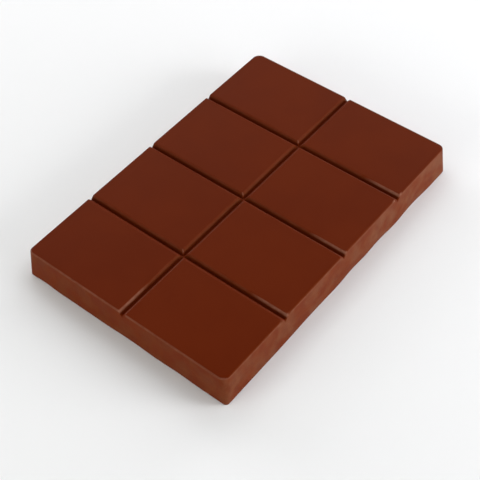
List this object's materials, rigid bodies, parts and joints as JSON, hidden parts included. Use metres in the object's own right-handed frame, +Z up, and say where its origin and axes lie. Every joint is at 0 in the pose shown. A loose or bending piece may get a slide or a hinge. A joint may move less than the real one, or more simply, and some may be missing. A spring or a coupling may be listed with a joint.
{
  "type": "moulded chocolate bar",
  "caption": "Unwrapped milk chocolate bar: a thick rectangular slab with small side draft, its flat top parted into equal sections by V-shaped breaking grooves",
  "frame": {"origin": "middle of the underside of the slab, on the surface it lies on", "axes": "+Z is up, out of the moulded top; +Y runs along the slab, its longest side; X runs across it"},
  "size_m": [0.1248, 0.1818, 0.0174],
  "materials": {
    "chocolate": null
  },
  "bodies": {
    "root": {"chocolate_slab": "chocolate"}
  },
  "joints": []
}
